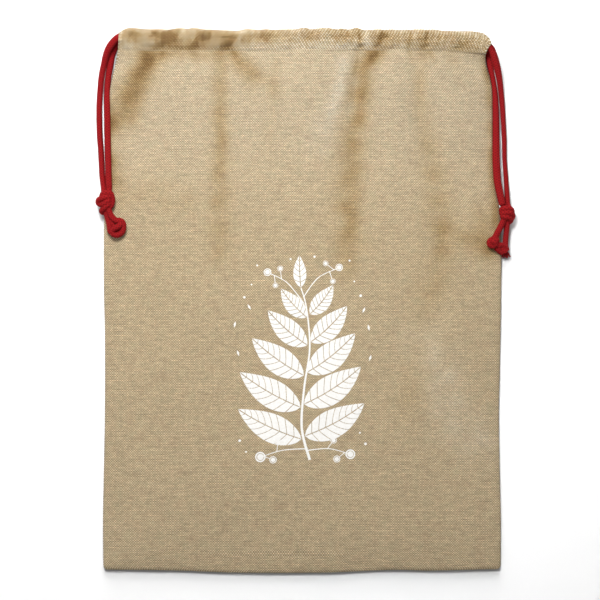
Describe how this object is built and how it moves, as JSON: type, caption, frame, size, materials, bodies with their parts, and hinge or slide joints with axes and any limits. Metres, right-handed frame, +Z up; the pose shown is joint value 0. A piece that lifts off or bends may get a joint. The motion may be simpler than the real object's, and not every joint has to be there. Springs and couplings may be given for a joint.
{
  "type": "burlap drawstring bag",
  "caption": "Flat burlap sack with side and bottom seams, a gathered casing at its mouth and soft drawcords knotted at both sides, lying on its back.",
  "frame": {"origin": "on the surface that the bag lies on, under the middle of its bounding box without the cords", "axes": "+X to the bag's right as it is seen from the front, +Y from its foot to its mouth, +Z up from the surface, out of its front"},
  "size_m": [0.5272, 0.6834, 0.0288],
  "materials": {
    "burlap": "coarse plain weave, natural tan",
    "burlap_back": "coarse plain weave, natural tan",
    "red_cord": "soft round cord, red"
  },
  "bodies": {
    "root": {"front_panel": "burlap", "back_panel": "burlap_back", "drawcord_left": "red_cord", "drawcord_right": "red_cord", "knot_left": "red_cord", "knot_right": "red_cord"}
  },
  "joints": []
}
